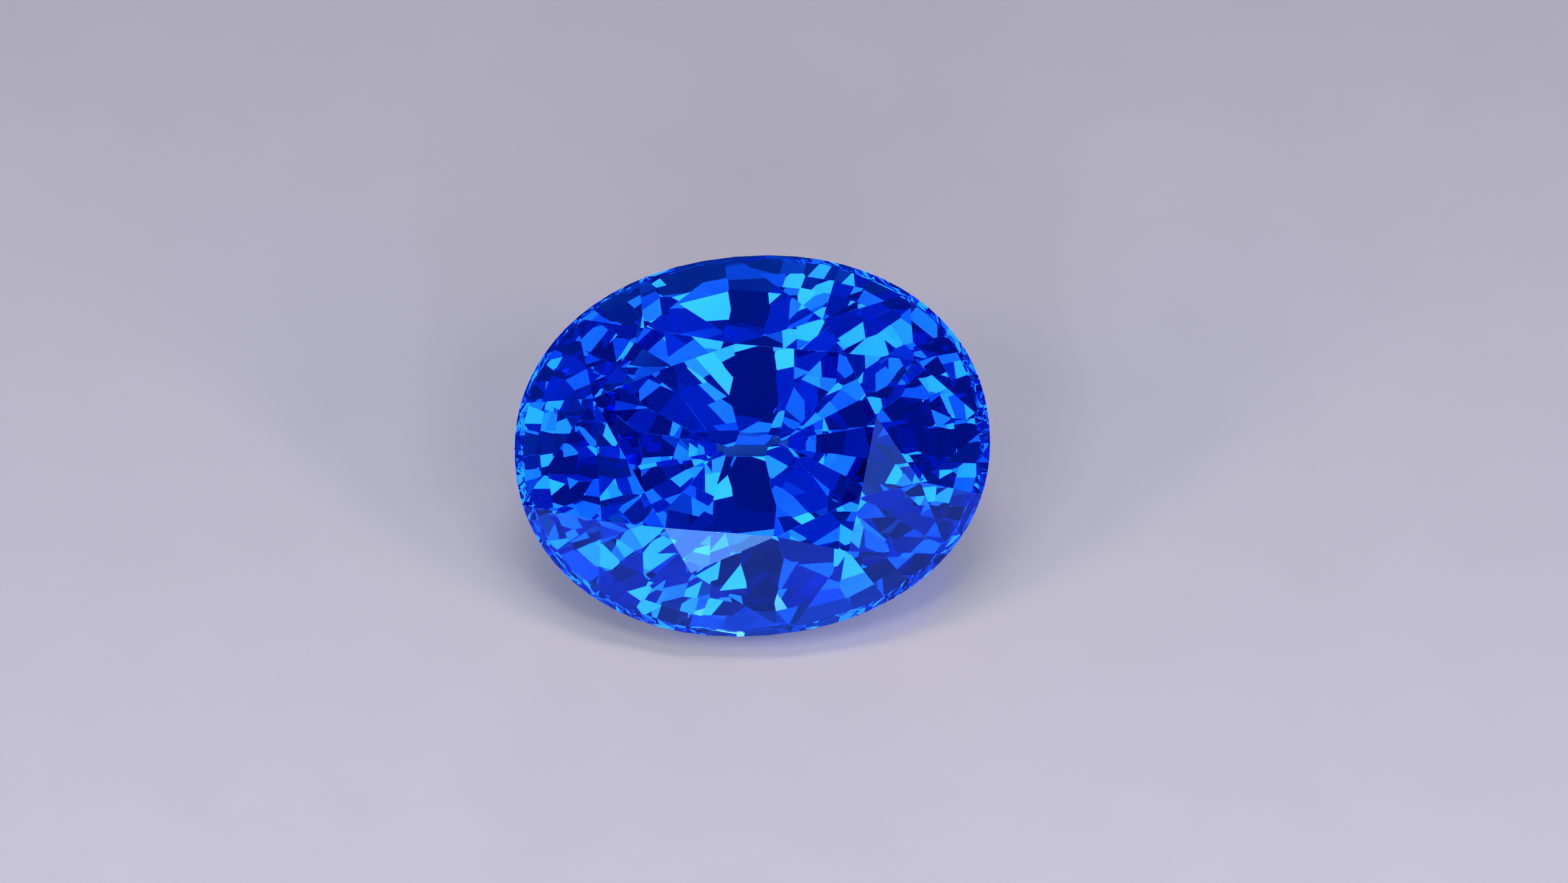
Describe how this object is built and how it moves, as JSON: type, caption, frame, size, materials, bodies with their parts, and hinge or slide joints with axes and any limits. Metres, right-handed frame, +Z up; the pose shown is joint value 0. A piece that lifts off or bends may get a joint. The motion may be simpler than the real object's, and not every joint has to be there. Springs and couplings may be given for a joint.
{
  "type": "faceted blue sapphire",
  "caption": "Loose oval-cut blue sapphire with a flat table, a brilliant crown, a thin girdle and a tiered pavilion, lying tilted on a pavilion facet.",
  "frame": {"origin": "centre of the bounding box's bottom, on the level facet that the stone rests on", "axes": "+X along the stone's length, -Y the side that the table faces, +Z up"},
  "size_m": [0.0096, 0.006, 0.0056],
  "materials": {
    "sapphire": "polished"
  },
  "bodies": {
    "root": {"sapphire": "sapphire"}
  },
  "joints": []
}
